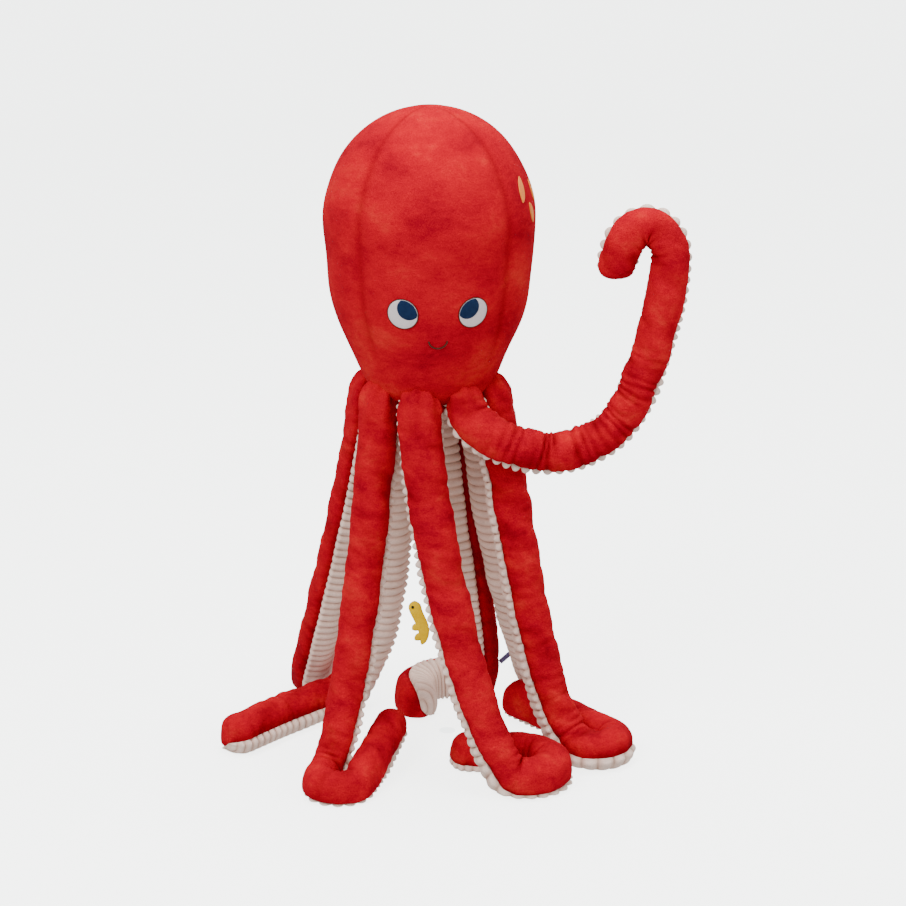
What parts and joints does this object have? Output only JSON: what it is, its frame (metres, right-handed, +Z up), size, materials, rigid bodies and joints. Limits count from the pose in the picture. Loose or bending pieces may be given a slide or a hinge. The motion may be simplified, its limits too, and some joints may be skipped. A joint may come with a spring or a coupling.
{
  "type": "octopus plush toy",
  "caption": "Large soft octopus with an egg-shaped head, embroidered face and long stuffed arms of red plush lined with ribbed corduroy, one arm raised in a curl.",
  "frame": {"origin": "on the floor, at the middle of the footprint of the whole toy", "axes": "+Z up, front (face and front arm) towards -Y, +X to the viewer's right where the raised arm is"},
  "size_m": [0.5509, 0.4691, 0.788],
  "materials": {
    "plush": "short-pile plush, mottled where the pile is brushed",
    "corduroy": "jumbo corduroy, wales across the arm",
    "stuffing": "polyester fibre filling",
    "eye_white": "satin embroidery",
    "eye_navy": "satin embroidery",
    "thread": "embroidery thread",
    "felt": "felt",
    "ribbon": "woven ribbon"
  },
  "bodies": {
    "base": {"base_panel": "plush", "base_filling": "stuffing"},
    "head": {"head_cover": "plush", "head_filling": "stuffing", "eye_patches": "eye_white", "eye_pupils": "eye_navy", "mouth_stitch": "thread"},
    "front_arm_upper": {"front_arm_upper_cover": "plush", "front_arm_upper_underside": "corduroy", "front_arm_upper_filling": "stuffing"},
    "front_arm_lower": {"front_arm_lower_cover": "plush", "front_arm_lower_underside": "corduroy", "front_arm_lower_filling": "stuffing", "felt_fish": "felt"},
    "front_left_arm_upper": {"front_left_arm_upper_cover": "plush", "front_left_arm_upper_underside": "corduroy", "front_left_arm_upper_filling": "stuffing"},
    "front_left_arm_lower": {"front_left_arm_lower_cover": "plush", "front_left_arm_lower_underside": "corduroy", "front_left_arm_lower_filling": "stuffing"},
    "left_arm_upper": {"left_arm_upper_cover": "plush", "left_arm_upper_underside": "corduroy", "left_arm_upper_filling": "stuffing"},
    "left_arm_lower": {"left_arm_lower_cover": "plush", "left_arm_lower_underside": "corduroy", "left_arm_lower_filling": "stuffing"},
    "rear_left_arm_upper": {"rear_left_arm_upper_cover": "plush", "rear_left_arm_upper_underside": "corduroy", "rear_left_arm_upper_filling": "stuffing"},
    "rear_left_arm_lower": {"rear_left_arm_lower_cover": "plush", "rear_left_arm_lower_underside": "corduroy", "rear_left_arm_lower_filling": "stuffing"},
    "rear_arm_upper": {"rear_arm_upper_cover": "plush", "rear_arm_upper_underside": "corduroy", "rear_arm_upper_filling": "stuffing"},
    "rear_arm_lower": {"rear_arm_lower_cover": "plush", "rear_arm_lower_underside": "corduroy", "rear_arm_lower_filling": "stuffing", "ribbon_tab": "ribbon"},
    "rear_right_arm_upper": {"rear_right_arm_upper_cover": "plush", "rear_right_arm_upper_underside": "corduroy", "rear_right_arm_upper_filling": "stuffing"},
    "rear_right_arm_lower": {"rear_right_arm_lower_cover": "plush", "rear_right_arm_lower_underside": "corduroy", "rear_right_arm_lower_filling": "stuffing"},
    "right_arm_upper": {"right_arm_upper_cover": "plush", "right_arm_upper_underside": "corduroy", "right_arm_upper_filling": "stuffing"},
    "right_arm_lower": {"right_arm_lower_cover": "plush", "right_arm_lower_underside": "corduroy", "right_arm_lower_filling": "stuffing"},
    "raised_arm_upper": {"raised_arm_upper_cover": "plush", "raised_arm_upper_underside": "corduroy", "raised_arm_upper_filling": "stuffing"},
    "raised_arm_middle": {"raised_arm_middle_cover": "plush", "raised_arm_middle_underside": "corduroy", "raised_arm_middle_filling": "stuffing"},
    "raised_arm_tip": {"raised_arm_tip_cover": "plush", "raised_arm_tip_underside": "corduroy", "raised_arm_tip_filling": "stuffing"}
  },
  "joints": [
    {"name": "head_nod", "type": "hinge", "parent": "base", "child": "head", "pos_m": [-0.02, -0.0524, 0.462], "axis": [1, 0, 0], "range_deg": [-8, 8]},
    {"name": "front_arm_swing", "type": "hinge", "parent": "base", "child": "front_arm_upper", "pos_m": [-0.03216, -0.12134, 0.455], "axis": [-0.9848, 0.1736, 0], "range_deg": [0, 25]},
    {"name": "front_arm_bend", "type": "hinge", "parent": "front_arm_upper", "child": "front_arm_lower", "pos_m": [-0.00178, -0.14231, 0.23693], "axis": [-0.9848, 0.1736, 0], "range_deg": [0, 35]},
    {"name": "front_left_arm_swing", "type": "hinge", "parent": "base", "child": "front_left_arm_upper", "pos_m": [-0.07734, -0.09255, 0.455], "axis": [-0.5736, 0.8191, 0], "range_deg": [-3, 25]},
    {"name": "front_left_arm_bend", "type": "hinge", "parent": "front_left_arm_upper", "child": "front_left_arm_lower", "pos_m": [-0.09813, -0.10512, 0.23035], "axis": [-0.5736, 0.8191, 0], "range_deg": [-8, 35]},
    {"name": "left_arm_swing", "type": "hinge", "parent": "base", "child": "left_arm_upper", "pos_m": [-0.08894, -0.04024, 0.455], "axis": [0.1736, 0.9848, 0], "range_deg": [0, 25]},
    {"name": "left_arm_bend", "type": "hinge", "parent": "left_arm_upper", "child": "left_arm_lower", "pos_m": [-0.12304, -0.00049, 0.26536], "axis": [0.1736, 0.9848, 0], "range_deg": [0, 35]},
    {"name": "rear_left_arm_swing", "type": "hinge", "parent": "base", "child": "rear_left_arm_upper", "pos_m": [-0.06015, 0.00494, 0.455], "axis": [0.9962, 0.0872, 0], "range_deg": [-3, 1]},
    {"name": "rear_left_arm_turn", "type": "hinge", "parent": "rear_left_arm_upper", "child": "rear_left_arm_lower", "pos_m": [-0.0702, 0.03629, 0.24363], "axis": [0, 0, 1], "range_deg": [-10, 14]},
    {"name": "rear_arm_swing", "type": "hinge", "parent": "base", "child": "rear_arm_upper", "pos_m": [-0.00784, 0.01654, 0.455], "axis": [0.9848, -0.1736, 0], "range_deg": [0, 25]},
    {"name": "rear_arm_bend", "type": "hinge", "parent": "rear_arm_upper", "child": "rear_arm_lower", "pos_m": [0.01325, 0.03825, 0.25844], "axis": [0.9848, -0.1736, 0], "range_deg": [0, 35]},
    {"name": "rear_right_arm_swing", "type": "hinge", "parent": "base", "child": "rear_right_arm_upper", "pos_m": [0.03734, -0.01225, 0.455], "axis": [0.5736, -0.8191, 0], "range_deg": [0, 25]},
    {"name": "rear_right_arm_bend", "type": "hinge", "parent": "rear_right_arm_upper", "child": "rear_right_arm_lower", "pos_m": [0.06046, 0.01117, 0.26395], "axis": [0.5736, -0.8191, 0], "range_deg": [0, 35]},
    {"name": "right_arm_swing", "type": "hinge", "parent": "base", "child": "right_arm_upper", "pos_m": [0.04894, -0.06456, 0.455], "axis": [-0.1736, -0.9848, 0], "range_deg": [0, 25]},
    {"name": "right_arm_bend", "type": "hinge", "parent": "right_arm_upper", "child": "right_arm_lower", "pos_m": [0.08979, -0.06701, 0.22077], "axis": [-0.1736, -0.9848, 0], "range_deg": [0, 35]},
    {"name": "raised_arm_lift", "type": "hinge", "parent": "base", "child": "raised_arm_upper", "pos_m": [0.02, -0.1094, 0.455], "axis": [0, -1, 0], "range_deg": [-10, 5]},
    {"name": "raised_arm_elbow", "type": "hinge", "parent": "raised_arm_upper", "child": "raised_arm_middle", "pos_m": [0.17979, -0.12927, 0.41998], "axis": [0, -1, 0], "range_deg": [-15, 12]},
    {"name": "raised_arm_curl", "type": "hinge", "parent": "raised_arm_middle", "child": "raised_arm_tip", "pos_m": [0.24838, -0.12232, 0.58705], "axis": [0, -1, 0], "range_deg": [-20, 35]}
  ]
}
